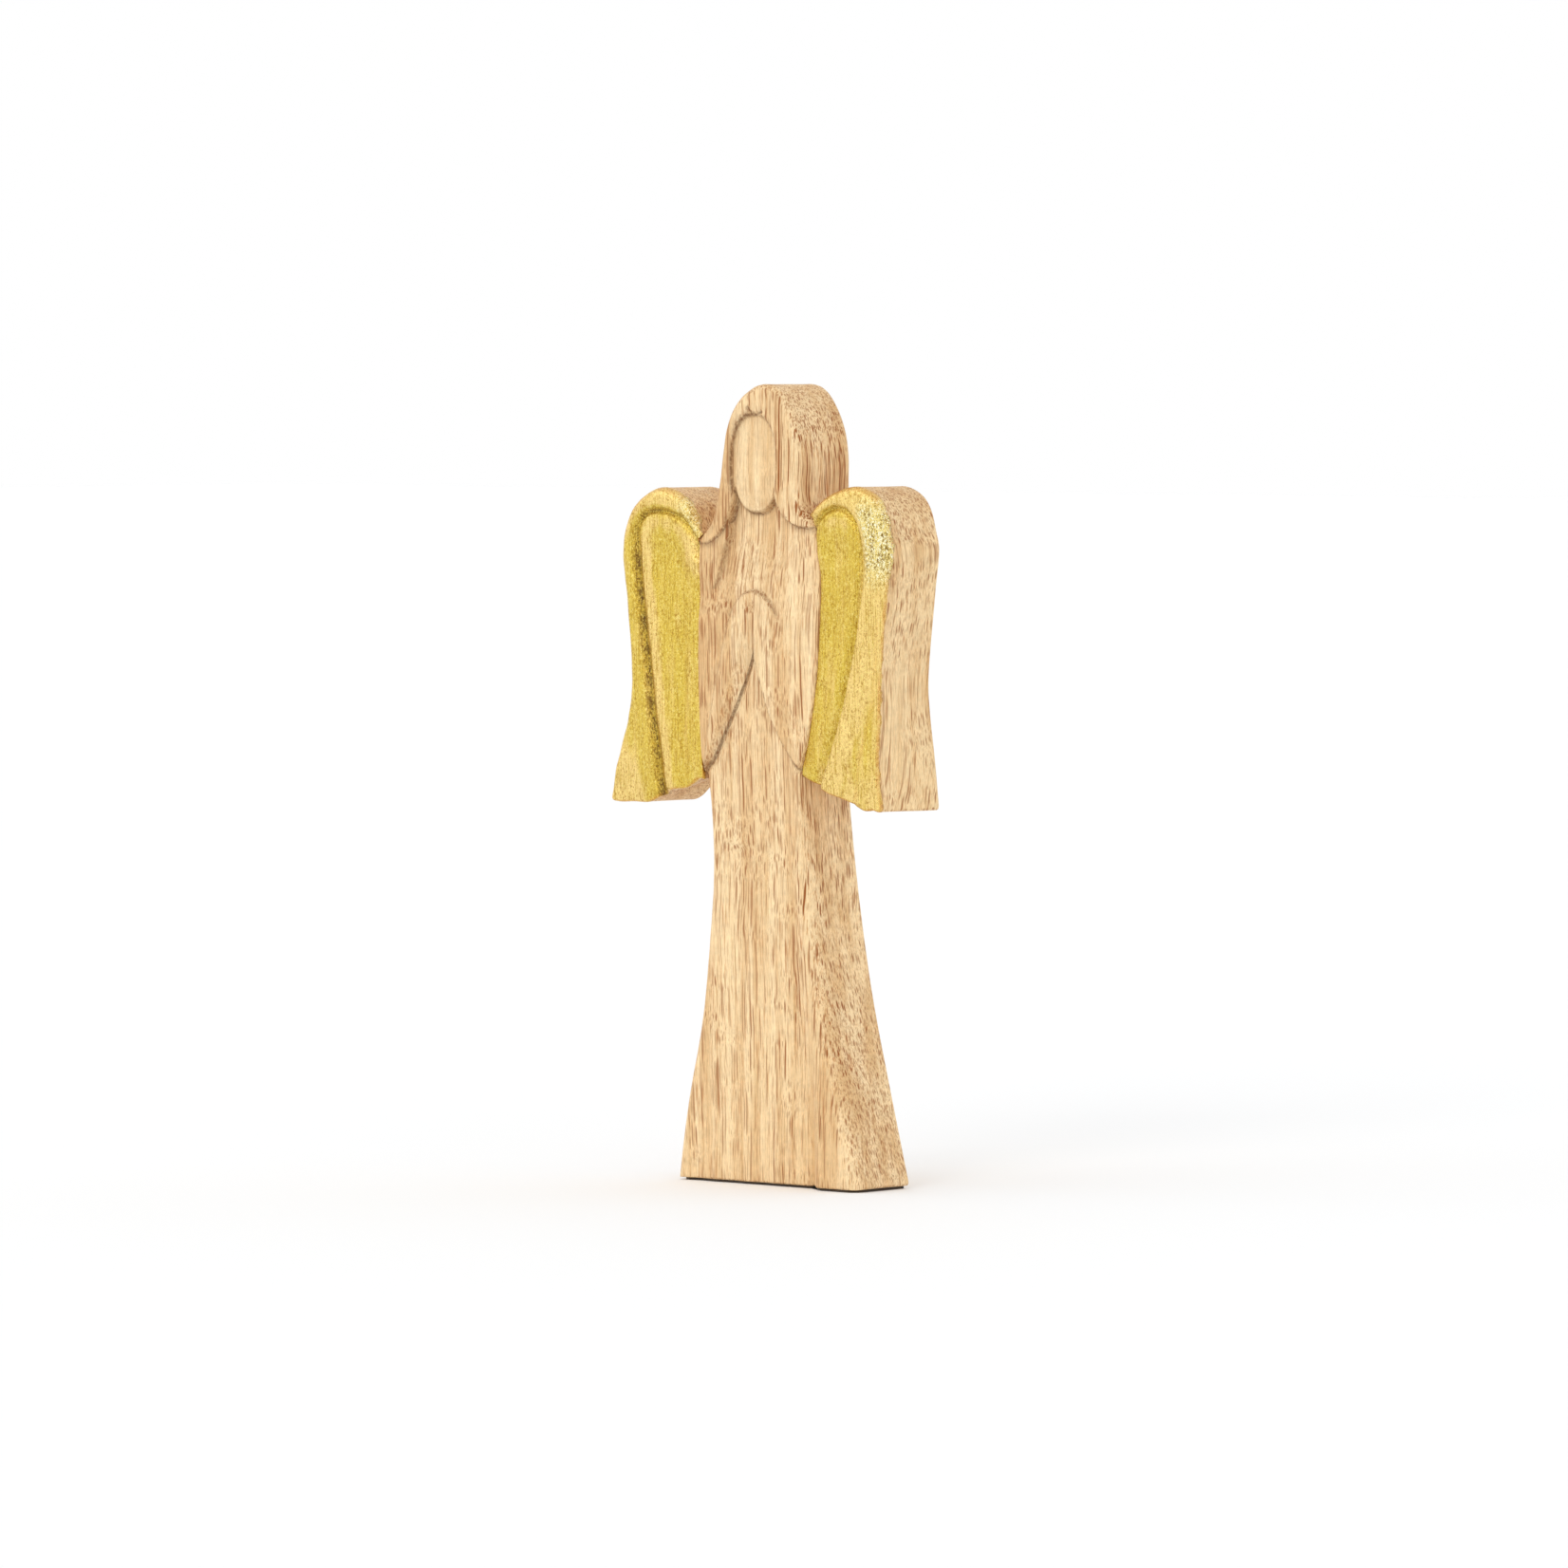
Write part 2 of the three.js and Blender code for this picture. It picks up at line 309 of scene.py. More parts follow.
SLEEVE_UNDER_RIGHT = curve([
    (2.6, 178), (2.8, 166), (5.6, 156.4), (9.3, 147.2), (14.2, 139), (19.2, 132.8), (24.6, 127.6),
])
SLEEVE_TOP_RIGHT = curve([(8.4, 183), (13.6, 174.5), (17.2, 167), (20.4, 156), (23.6, 144), (25.4, 133)])
HANDS_TOP = curve([
    (-9, 176), (-5.6, 181.4), (-1.6, 184.8), (2.6, 185.6), (6.4, 184.2), (10, 180.6), (13, 175),
])
PARTING = curve([(0.6, 242.8), (2.2, 241), (4.2, 240.6), (6.4, 241.4)])
LOBE = {
    "left_wing": curve([
        (-20.6, 197), (-22, 202), (-25.4, 206.4), (-30.6, 209.3), (-37, 210.4), (-43, 209.4),
        (-46.4, 205.4), (-47.2, 198), (-46, 184), (-44.2, 172), (-42.6, 160), (-40.9, 147), (-39, 136),
        (-37.2, 124), (-35.8, 116),
    ]),
    "right_wing": curve([
        (26.6, 200), (27.6, 205.6), (31, 210), (36, 212), (41, 211), (44.8, 207), (46.9, 200), (47.2, 190),
        (45.4, 177), (42.6, 164), (39, 151), (35, 139), (30.6, 128.5), (27.4, 121),
    ]),
}
FLUTE = {
    "left_wing": curve([(-29, 200), (-28.6, 185), (-28.2, 165), (-28, 145), (-26.4, 124)]),
    "right_wing": curve([(53.4, 186), (52.4, 170), (50.4, 152), (46.8, 136), (42.4, 118)]),
}


def face_edge(x, z):
    """About how far outside the face's oval a point is, in millimetres, negative inside."""
    u = np.abs(x - FACE_MIDDLE[0]) / FACE_HALF[0]
    v = np.abs(z - FACE_MIDDLE[1]) / FACE_HALF[1]
    spread = (u**FACE_SQUARENESS + v**FACE_SQUARENESS) ** (1 / FACE_SQUARENESS)
    return (spread - 1) * FACE_HALF[0]


def chest(x, z):
    """The breast between chin, shoulders and hands."""
    slope = 4.1 - 2.2 * smooth(206, 183, z)
    shoulder = 1.1 + 0.5 * smooth(196, 206, z)
    off, _ = beside(x, z, CHEST_LEFT)
    inside = smooth(-0.7, 0.8, off)
    fade = smooth(182, 192, z)
    left = shoulder + (slope - shoulder) * inside
    breast = slope + (left - slope) * fade
    rise = smooth(9, 27, x)
    return breast + (1.5 - breast) * rise * 0.9


def sleeves(x, z, depth):
    """Both forearms and the joined hands, standing above the upper arms."""
    top_left, _ = beside(x, z, SLEEVE_TOP_LEFT)
    under_left, _ = beside(x, z, SLEEVE_UNDER_LEFT)
    top_right, _ = beside(x, z, SLEEVE_TOP_RIGHT)
    under_right, _ = beside(x, z, SLEEVE_UNDER_RIGHT)
    crown, _ = beside(x, z, HANDS_TOP)
    below_crown = smooth(0.9, -0.9, crown)
    # left forearm: its crest lies near the upper line and the under side falls away into the fold
    a = np.maximum(top_left, 0)
    b = np.maximum(-under_left, 0)
    share = a / np.maximum(a + b, 1e-6)
    left_arm = 0.35 + 2.3 * smooth(0.32, 1.02, share) ** 1.15
    in_left = smooth(-0.9, 0.7, top_left) * (under_left < 0) * (z < SLEEVES_TOP)
    # right forearm: a crisp crest beside the fold, easing away to the upper arm
    c = np.maximum(under_right, 0)
    d = np.maximum(-top_right, 0)
    share = c / np.maximum(c + d, 1e-6)
    right_arm = 0.3 + 0.7 * smooth(0.25, 1.0, share)
    in_right = smooth(0.9, -0.7, top_right) * (under_right > 0) * (z < SLEEVES_TOP)
    left_side = x < HANDS_MIDDLE
    arm = np.where(left_side, left_arm, right_arm)
    inside = np.where(left_side, in_left, in_right) * below_crown
    depth = depth + (arm - depth) * inside
    # where the two sleeves meet, above the fold
    meeting = bump(x - HANDS_MIDDLE, 0.55) * smooth(183, 178, z) * smooth(164, 168, z)
    return depth + 0.45 * meeting


def robe(x, z):
    """The skirt: cut back on the left, with a roll that stays proud along the right edge."""
    panel = 2.1 + 0.9 * smooth(150, 96, z) + 1.3 * smooth(96, 14, z)
    panel = panel - 0.5 * smooth(-20, -32, x)
    valley = 13.5 + 11 * smooth(118, 0, z)
    run = 9 - 3.4 * smooth(60, 0, z)
    roll = smooth(valley, valley + run, x)
    proud = 0.9 - 0.8 * smooth(110, 20, z)
    depth = panel + (proud - panel) * roll
    hollow = bump(x + 3.6, 4.6) * smooth(108, 103.5, z) * smooth(44, 78, z)
    fold = bump(x - valley + 0.6, 1.3) * smooth(22, 6, z)
    ridge = 0.22 * np.sin((x - 0.04 * z) / 2.1) * smooth(118, 90, z)
    return depth + 0.75 * hollow + 0.8 * fold + ridge * smooth(22, 8, x)


def body_front(x, z):
    """Depth of the carved body, and its knife cuts."""
    hair = 0.25 + 0.5 * ((x - 4.5) / 16) ** 2
    hair = hair + 0.12 * wander(x, z, 9, 11, 2.5)
    parting, _ = beside(x, z, PARTING)
    hair = hair + 0.5 * bump(parting, 0.42)
    below_hair, _ = beside(x, z, HAIRLINE)
    left_side = x < HANDS_MIDDLE
    arm_side = np.where(left_side, 1.35, 1.2)
    torso = chest(x, z)
    torso = torso + (arm_side - torso) * smooth(184, 176, z)
    crown, _ = beside(x, z, HANDS_TOP)
    torso = torso + 0.35 * bump(crown, 1.5) * smooth(172, 180, z)
    torso = sleeves(x, z, torso)
    under_left, _ = beside(x, z, SLEEVE_UNDER_LEFT)
    under_right, _ = beside(x, z, SLEEVE_UNDER_RIGHT)
    skirt = robe(x, z)
    skirt = skirt + 1.1 * bump(np.maximum(under_left, 0), 1.5) * smooth(127, 133, z) * left_side
    in_skirt = np.where(left_side, smooth(-0.35, 0.35, under_left), smooth(0.35, -0.35, under_right))
    in_skirt = np.where(z > 178, 0, in_skirt)
    in_skirt = np.maximum(in_skirt, smooth(129.5, 126.5, z))
    depth = torso + (skirt - torso) * in_skirt
    under_hair = smooth(0.4, -0.4, below_hair)
    depth = hair + (depth - hair) * under_hair
    oval = face_edge(x, z)
    wall = np.where(z < 217, 0.3, 0.55)
    in_face = smooth(wall, -wall, oval)
    turned = 2.0 - 0.5 * smooth(-4, 11, x)
    brow = -0.55 * (1 - ((x - FACE_MIDDLE[0]) / FACE_HALF[0]) ** 2) * (1 - ((z - 224) / 17) ** 2)
    jaw = 0.35 * smooth(-2.2, -0.3, oval) * smooth(219, 212, z)
    depth = depth + (turned + np.clip(brow, -0.55, 0) + jaw - depth) * in_face
    depth = depth + 0.1 * wander(x, z, 15, 3, 3) + 0.05 * wander(x, z, 5, 5, 2.5)
    return depth, {"cut": body_creases(x, z)}


def body_creases(x, z):
    """How deep in a knife cut each point of the body's front lies, 0 to 1."""
    oval = face_edge(x, z)
    lines = (HAIRLINE, SLEEVE_UNDER_LEFT, SLEEVE_UNDER_RIGHT, HANDS_TOP, PARTING, SLEEVE_TOP_LEFT, CHEST_LEFT)
    below_hair, under_left, under_right, crown, parting, top_left, breast = (
        beside(x, z, line)[0] for line in lines
    )
    # Where these lines lie the wood is also painted darker: partly the cuts' own darkening, partly painted
    # shade in the creases.
    creases = [
        bump(oval - 0.15, 0.42) * np.where(x < 4, 1, 0.5),
        0.3 * bump(oval - 0.5, 0.9) * (x < 2) * (z > 214),
        0.9 * bump(below_hair + 0.35, 0.42) * (oval > 0),
        0.35 * bump(below_hair + 1.0, 1.0) * (oval > 0) * (below_hair < 0),
        bump(under_left - 0.15, 0.42) * (x < 2.8) * (z < 174) * (z > 129),
        0.15 * bump(under_left + 0.9, 1.2) * (x < 2.2) * (z < 168) * (z > 131),
        bump(under_right + 0.1, 0.5) * (x > 2.2) * (z < 172) * (z > 128),
        0.55 * bump(crown, 0.55) * (z > 178),
        0.9 * bump(parting, 0.36),
        0.4 * bump(top_left, 0.5) * (x < HANDS_MIDDLE) * (z < 180) * (z > 130),
        0.55 * bump(breast, 0.6) * (z > SLEEVES_TOP),
    ]
    return np.clip(np.max(creases, axis=0), 0, 1)


def body_calm(x, y, z):
    """Where the body's grain is quiet, up to 1, and where it is bold, below 0."""
    in_face = smooth(0.5, -0.5, face_edge(x, z)) * (y < FRONT + 5)
    hair = smooth(203, 209, z) * smooth(243, 235, z) * smooth(5, 11, x) * (1 - in_face)
    roll = smooth(11, 19, x) * smooth(20, 70, z) * smooth(126, 112, z) * smooth(0, -8, y)
    return in_face - 0.9 * hair - 0.7 * roll


def wing_front(node):
    """The gilded side of one wing: an outer rim, a cut round the inner lobe, and soft flutes, with masks that
    paint highlights on the rim and ridges and shade into the cut.
    """
    facing = 1 if node == "left_wing" else -1

    def front(x, z):
        off, _ = beside(x, z, LOBE[node])
        inward = off * facing
        arch = smooth(196, 207, z)
        deep = 2.6 - 0.8 * arch
        slope = 0.045 if facing > 0 else 0.02
        rim = 0.35 + slope * np.clip(-inward - 3, 0, 9) ** 1.6 * (1 - 0.6 * smooth(150, 122, z))
        lobe = 1.3 + 0.9 * smooth(3, 10, inward) * (1 - arch) - 0.3 * arch
        floor = 0.55 + deep
        into = smooth(-1.3, 0.2, inward)
        out = smooth(0.1, 3.2 - 1.5 * arch, inward)
        depth = rim + (floor - rim) * into
        depth = depth + (lobe - depth) * out
        flute, run = beside(x, z, FLUTE[node])
        depth = depth + 0.5 * bump(flute, 1.5) * smooth(0, 0.2, run)
        depth = depth + 0.8 * smooth(134, 119, z)
        depth = depth + 1.3 * arch * smooth(27, 20, np.abs(x - MIDDLE))
        depth = depth + 0.12 * wander(x, z, 10, 21, 3) + 0.06 * wander(x, z, 3.4, 23, 2)
        # The groove mask paints shade into the cut round the lobe; the leaf is also rubbed through there.
        groove = bump(inward + 0.1, 0.8) * (1 - 0.35 * arch) * (1 if facing > 0 else 0.6)
        # A painted highlight patch where the rim catches the light: on the left wing the arch's right part,
        # on the right wing the upper outer rim.
        if facing > 0:
            flash = 0.55 * smooth(-31, -25, x) * smooth(199, 206, z) * smooth(-0.5, -1.5, inward)
            crest = bump(inward - 3.6, 2.2) * (1 - 0.6 * arch)
            rim_top = 0.8 * smooth(-1.0, -3, inward) * smooth(198, 206, z)
            hem = smooth(146, 122, z) * smooth(-5, -12, inward)
        else:
            flash = smooth(-1.5, -3, inward) * smooth(44, 48, x) * smooth(184, 197, z) * smooth(217, 209, z)
            crest = smooth(-0.2, -2, inward) * (1 - 0.75 * smooth(-7.5, -10, inward) * smooth(172, 140, z))
            rim_top = 0.35 * smooth(204, 208, z) * smooth(2, 4, inward)
            hem = 0.5 * smooth(136, 122, z) * smooth(4, 0, inward)
        # Crests, the rim's top and the hem are painted paler as painted highlight.
        pale = np.clip(np.max([crest, rim_top, hem], axis=0), 0, 1)
        return depth, {"cut": np.clip(groove, 0, 1), "pale": pale, "flash": flash}

    return front


# ---------------------------------------------------------------- boards as fine meshes


def body_rounding(x, z):
    """Radius of the body's front edge all round its outline."""
    radius = np.full(len(x), 2.2)
    radius = np.where((x > 14) & (z > SHOULDERS), 2.6, radius)
    radius = np.where((z > WINGS_FOOT) & (z < SHOULDERS - 1), 0.8, radius)
    skirt = z <= WINGS_FOOT
    radius = np.where(skirt & (x < 0), 3.2 - 0.9 * smooth(60, 5, z), radius)
    return np.where(skirt & (x > 0), 3.4 + 1.2 * smooth(110, 10, z), radius)


def wing_rounding(x, z):
    """Radius of a wing's front edge: soft outside and on top, square where it meets the body."""
    outer = np.abs(x - MIDDLE)
    side = np.where(x > MIDDLE, 0.9 + 1.1 * smooth(188, 200, z), 2.0)
    radius = np.where(outer > 26.5, side, 0.3)
    radius = np.where(z > SHOULDERS, 2.4, radius)
    return np.where(z < WINGS_FOOT, 1.1, radius)


def rounded(distance, radius):
    """How far an edge of that radius falls away at a distance in from the outline."""
    inside = np.clip(1 - distance / radius, 0, 1)
    return radius * (1 - np.sqrt(1 - inside**2))


def nearest_on(loop, x, z):
    """Distance to the outline and the index of its nearest point."""
    line = np.vstack([loop, loop[:1]])
    off, along = beside(x, z, line)
    return np.abs(off), np.minimum((along * len(loop)).astype(int), len(loop) - 1)


def spread_points(loop, radius, step, lines=()):
    """The outline, rings that follow its rounded edge, crisp lines of the carving, then an even fill."""
    normal = outward(loop)
    points = [loop]
    line = np.vstack([loop, loop[:1]])
    for share in RING_SHARES:
        ring = loop - normal * (radius * share)[:, None]
        off, _ = beside(ring[:, 0], ring[:, 1], line)
        clear = off > radius * share - 0.02
        points.append(ring[clear])
    fixed = np.vstack(points)
    crisp = [fixed[len(loop) :]]
    for path in lines:
        off, _ = beside(path[:, 0], path[:, 1], line)
        gap, near = nearest_on(loop, path[:, 0], path[:, 1])
        crisp.append(path[(off > 0) & (gap > radius[near] * 1.1 + 0.1)])
    low, high = loop.min(0), loop.max(0)
    rows = np.arange(low[1], high[1], step * 0.866)
    fill = []
    for k, row in enumerate(rows):
        xs = np.arange(low[0] + (k % 2) * step / 2, high[0], step)
        fill.append(np.stack([xs, np.full(len(xs), row)], -1))
    fill = np.vstack(fill)
    off, _ = beside(fill[:, 0], fill[:, 1], line)
    gap, near = nearest_on(loop, fill[:, 0], fill[:, 1])
    fill = fill[(off > 0) & (gap > radius[near] * 1.05 + step * 0.45)]
    placed = np.vstack(crisp)
    taken = set(map(tuple, np.floor(placed / step).astype(int)))
    cells = np.floor(fill / step).astype(int)
    free = np.array([tuple(c) not in taken for c in cells], bool)
    return np.vstack([loop, placed, fill[free]])


def triangles_inside(points, rim_count):
    """Triangles over the points, inside the rim that the first rim_count of them make."""
    flat = [Vector(p) for p in points]
    _, _, faces, origins, _, _ = delaunay_2d_cdt(flat, [], [list(range(rim_count))], 1, 1e-6, True)
    source = np.array([o[0] if o else -1 for o in origins])
    tris = np.array([[source[i] for i in f] for f in faces if len(f) == 3])
    tris = tris[(tris >= 0).all(1)]
    middle = points[tris].mean(1)
    off, _ = beside(middle[:, 0], middle[:, 1], np.vstack([points[:rim_count], points[:1]]))
    return tris[off > 0]


def edge_fall(loop, radius, x, z, foot_radius):
    """How far the rounded edge falls away: round the sides, and more tightly along the foot."""
    if foot_radius is None:
        gap, near = nearest_on(loop, x, z)
        return rounded(gap, radius[near])
    foot = loop[:, 1].min()
    tall = loop.copy()
    tall[loop[:, 1] < foot + 0.4, 1] -= 14
    gap, near = nearest_on(tall, x, z)
    return np.maximum(rounded(gap, radius[near]), rounded(np.maximum(z - foot, 0), foot_radius))


def side_rings(loop, near_y, far_y, seed):
    """Rings of points between a board's two rims, a little uneven from the rasp."""
    normal = outward(loop)
    travel = run_length(loop)
    levels = max(3, int((BACK - FRONT) / SIDE_STEP))
    rings = []
    for level in range(1, levels):
        t = level / levels
        y = near_y + (far_y - near_y) * t
        ease = math.sin(math.pi * t) ** 0.5
        wave = wander(travel, y, 16, seed, 1.2) * (loop[:, 1] > FOOT + 0.3)
        ring = loop + normal * (SIDE_WAVE * ease * (wave - 1))[:, None]
        rings.append(np.stack([ring[:, 0], y, ring[:, 1]], -1))
    return rings


def planed_back(loop, seed):
    """Points of a board's back and how far behind the middle each one is."""
    radius = BACK_EDGE + 1.2 * smooth(225, 246, loop[:, 1])
    points = spread_points(loop, radius, BACK_STEP)
    gap, near = nearest_on(loop, points[:, 0], points[:, 1])
    gap[: len(loop)] = 0
    marks = 1 + wander(points[:, 0], points[:, 1], 28, seed + 40, 3)
    return points, BACK - 0.05 - rounded(gap, radius[near]) - BACK_WAVE * marks * smooth(1, 4, gap)


def board_mesh(name, loop, front, radius, lines, seed, foot_radius=None, calm=None):
    """A closed board: carved front, flat back and sides with a worked surface between."""
    rim = len(loop)
    top = spread_points(loop, radius, FRONT_STEP, lines)
    depth, marks = front(top[:, 0], top[:, 1])
    top_y = FRONT + np.maximum(depth, 0.02) + edge_fall(loop, radius, top[:, 0], top[:, 1], foot_radius)
    under, under_y = planed_back(loop, seed)
    rings = side_rings(loop, top_y[:rim], under_y[:rim], seed)
    front_points = np.stack([top[:, 0], top_y, top[:, 1]], -1)
    back_points = np.stack([under[:, 0], under_y, under[:, 1]], -1)
    verts = np.vstack([front_points, *rings, back_points])
    starts = [0] + [len(top) + rim * k for k in range(len(rings) + 1)]
    back_faces = triangles_inside(under, rim)[:, ::-1] + starts[-1]
    faces = triangles_inside(top, rim).tolist() + back_faces.tolist()
    for a, b in zip(starts, starts[1:]):
        for i in range(rim):
            j = (i + 1) % rim
            faces.append([a + i, b + i, b + j, a + j])
    layers = {"cut": np.concatenate([marks["cut"], np.zeros(len(verts) - len(top))])}
    if calm:
        layers["calm"] = calm(*verts.T)
    piece = mesh_piece(name, verts, faces, layers)
    mark_end_grain(piece.data)
    return piece


def mark_end_grain(mesh):
    """How far each part of the surface cuts across the upright fibres, 0 to 1."""
    normals = np.empty(len(mesh.vertices) * 3, np.float32)
    mesh.vertex_normals.foreach_get("vector", normals)
    upright = np.abs(normals.reshape(-1, 3)[:, 2])
    layer = mesh.attributes.new("end_grain", "FLOAT", "POINT")
    layer.data.foreach_set("value", smooth(0.04, 0.5, upright).astype(np.float32))


def mesh_piece(name, verts, faces, attributes=None):
    """A smooth-shaded object from points in millimetres."""
    mesh = bpy.data.meshes.new(name)
    mesh.from_pydata((np.asarray(verts) * MM).tolist(), [], [[int(i) for i in f] for f in faces])
    mesh.validate()
    for key, values in (attributes or {}).items():
        layer = mesh.attributes.new(key, "FLOAT", "POINT")
        layer.data.foreach_set("value", np.asarray(values, np.float32))
    mesh.shade_smooth()
    piece = bpy.data.objects.new(name, mesh)
    bpy.context.scene.collection.objects.link(piece)
    return piece


def leaf_mesh(name, loop, front, radius, lines, seed):
    """Gold leaf on its ground: a thin closed skin over a wing's front that turns over the edge."""
    rim = len(loop)
    top = spread_points(loop, radius, FRONT_STEP, lines)
    gap, near = nearest_on(loop, top[:, 0], top[:, 1])
    gap[:rim] = 0
    near[:rim] = np.arange(rim)
    depth, marks = front(top[:, 0], top[:, 1])
    base_y = FRONT + np.maximum(depth, 0.02) + rounded(gap, radius[near])
    normal = outward(loop)
    travel = run_length(loop)
    tris = triangles_inside(top, rim)
    points = np.stack([top[:, 0], base_y, top[:, 1]], -1)
    lift = surface_normals(points, tris)
    lift[:rim] = lift[:rim] * 0.4 + np.stack([normal[:, 0], np.zeros(rim), normal[:, 1]], -1) * 0.8
    lift /= np.linalg.norm(lift, axis=1)[:, None]
    outer = points + lift * LEAF_LIFT
    inner = points + lift * LEAF_LIFT * LEAF_INSIDE
    ragged = 0.4 * wander(travel, travel * 0, 5.2, seed)
    frayed = 0.25 * wander(travel, travel * 0, 1.7, seed + 1)
    overlap = np.clip(0.45 + ragged + frayed, 0.05, 1.4)
    skirt = loop + normal * LEAF_LIFT
    tuck = loop + normal * LEAF_LIFT * LEAF_INSIDE
    low_outer = np.stack([skirt[:, 0], base_y[:rim] + overlap, skirt[:, 1]], -1)
    low_inner = np.stack([tuck[:, 0], base_y[:rim] + overlap + 0.05, tuck[:, 1]], -1)
    n = len(top)
    verts = np.vstack([outer, inner, low_outer, low_inner])
    faces = [list(t) for t in tris] + [[i + n for i in t[::-1]] for t in tris]
    for i in range(rim):
        j = (i + 1) % rim
        faces.append([i, 2 * n + i, 2 * n + j, j])
        faces.append([2 * n + i, 2 * n + rim + i, 2 * n + rim + j, 2 * n + j])
        faces.append([2 * n + rim + i, n + i, n + j, 2 * n + rim + j])
    worn = rounded(gap, radius[near]) / np.maximum(radius[near], 0.1)
    wear = np.concatenate([worn, worn, np.ones(2 * rim)])
    layers = {key: np.concatenate([mark, mark, np.zeros(2 * rim)]) for key, mark in marks.items()}
    return mesh_piece(name, verts, faces, {**layers, "wear": wear})


def surface_normals(points, tris):
    """Vertex normals of a triangle sheet."""
    a, b, c = (points[tris[:, k]] for k in range(3))
    face = np.cross(b - a, c - a)
    normal = np.zeros_like(points)
    for k in range(3):
        np.add.at(normal, tris[:, k], face)
    return normal / np.maximum(np.linalg.norm(normal, axis=1), 1e-12)[:, None]


def offsets(path, gaps):
    """Lines that run beside a line, for a crisp wall on each side of it."""
    along = np.gradient(path, axis=0)
    side = np.stack([-along[:, 1], along[:, 0]], -1)
    side /= np.maximum(np.linalg.norm(side, axis=1), 1e-9)[:, None]
    return [path + side * gap for gap in gaps]


def face_rings():
    """Rings on both sides of the wall round the face."""
    turn = np.linspace(0, 2 * math.pi, 190, endpoint=False)
    power = 2 / FACE_SQUARENESS
    rings = []
    for gap in (-0.55, -0.25, 0.0, 0.25, 0.55):
        grow = 1 + gap / FACE_HALF[0]
        x = FACE_MIDDLE[0] + FACE_HALF[0] * grow * np.sign(np.cos(turn)) * np.abs(np.cos(turn)) ** power
        z = FACE_MIDDLE[1] + FACE_HALF[1] * grow * np.sign(np.sin(turn)) * np.abs(np.sin(turn)) ** power
        rings.append(np.stack([x, z], -1))
    return rings


# ---------------------------------------------------------------- finishes


class Finish:
    """A material whose nodes are added in order."""

    def __init__(self, name):
        self.material = bpy.data.materials.new(name)
        self.material.use_nodes = True
        self.tree = self.material.node_tree
        self.tree.nodes.clear()
        out = self.tree.nodes.new("ShaderNodeOutputMaterial")
        self.shader = self.tree.nodes.new("ShaderNodeBsdfPrincipled")
        self.tree.links.new(self.shader.outputs[0], out.inputs[0])

    def node(self, kind, settings=None, **inputs):
        made = self.tree.nodes.new("ShaderNode" + kind)
        for key, value in (settings or {}).items():
            setattr(made, key, value)
        for key, value in inputs.items():
            self.feed(made, key.replace("_", " "), value)
        return made

    def feed(self, made, key, value):
        socket = made.inputs[int(key[2:])] if key.startswith("in") and key[2:].isdigit() else made.inputs[key]
        if isinstance(value, bpy.types.NodeSocket):
            self.tree.links.new(value, socket)
        else:
            socket.default_value = value

    def math(self, what, a, b, c=0.0):
        made = self.node("Math", {"operation": what}, in0=a, in1=b)
        if what == "MULTIPLY_ADD":
            self.feed(made, "in2", c)
        return made.outputs[0]

    def vector(self, what, a, b):
        made = self.node("VectorMath", {"operation": what}, in0=a)
        if what == "SCALE":
            self.feed(made, "Scale", b)
        else:
            self.feed(made, "in1", b)
        return made.outputs[0]

    def range(self, value, low, high, to_low=0.0, to_high=1.0):
        made = self.node("MapRange", {"clamp": True, "interpolation_type": "SMOOTHSTEP"}, Value=value)
        for key, number in (("From Min", low), ("From Max", high), ("To Min", to_low), ("To Max", to_high)):
            self.feed(made, key, number)
        return made.outputs[0]

    def mix(self, share, a, b, blend="MIX"):
        made = self.node("MixRGB", {"blend_type": blend}, Fac=share, Color1=a, Color2=b)
        return made.outputs[0]

    def noise(self, where, stretch, detail, rough=0.5):
        """Noise over a place stretched by so much along each axis."""
        made = self.node("TexNoise", {"noise_dimensions": "3D"}, Vector=self.stretched(where, stretch))
        for key, number in (("Scale", 1.0), ("Detail", detail), ("Roughness", rough), ("Distortion", 0.0)):
            self.feed(made, key, number)
        return made

    def attribute(self, name):
        return self.node("Attribute", {"attribute_type": "GEOMETRY", "attribute_name": name}).outputs["Fac"]

    def place(self, offset):
        """Object position in millimetres, moved into its own part of the timber."""
        where = self.node("TexCoord").outputs["Object"]
        made = self.node("Mapping", {"vector_type": "POINT"}, Vector=where)
        made.inputs["Location"].default_value = offset
        made.inputs["Scale"].default_value = [1 / MM] * 3
        return made.outputs[0]

    def stretched(self, where, stretch):
        return self.vector("MULTIPLY", where, stretch)

    def link(self, key, socket):
        self.tree.links.new(socket, self.shader.inputs[key])

    def relief(self, height, strength, depth):
        """Fine relief in the surface, its depth in millimetres."""
        made = self.node("Bump", Height=height, Strength=strength, Distance=depth * MM)
        self.link("Normal", made.outputs[0])


def rgb(red, green, blue):
    """A colour given as it looks on a screen, 0 to 255, made linear."""
    linear = []
    for channel in (red, green, blue):
        c = channel / 255
        linear.append(c / 12.92 if c <= 0.04045 else ((c + 0.055) / 1.055) ** 2.4)
    return (*linear, 1.0)


CREAM = rgb(247, 219, 172)
WING_CREAM = rgb(242, 213, 164)
TAN = rgb(216, 174, 118)
PORE = rgb(150, 84, 26)
RUST = rgb(184, 118, 62)
STREAK = rgb(190, 132, 76)
# Painted shade in the creases, together with the cuts' own darkening.
CREASE_SHADE_AND_GRIME = rgb(112, 74, 38)
END_GRAIN_TINT = (0.9, 0.88, 0.86, 1)

# The two sizes of vessel: how many to a millimetre, their radius, and how rare they are
VESSELS = ((0.98, 0.24, 0.42), (1.6, 0.17, 0.5))


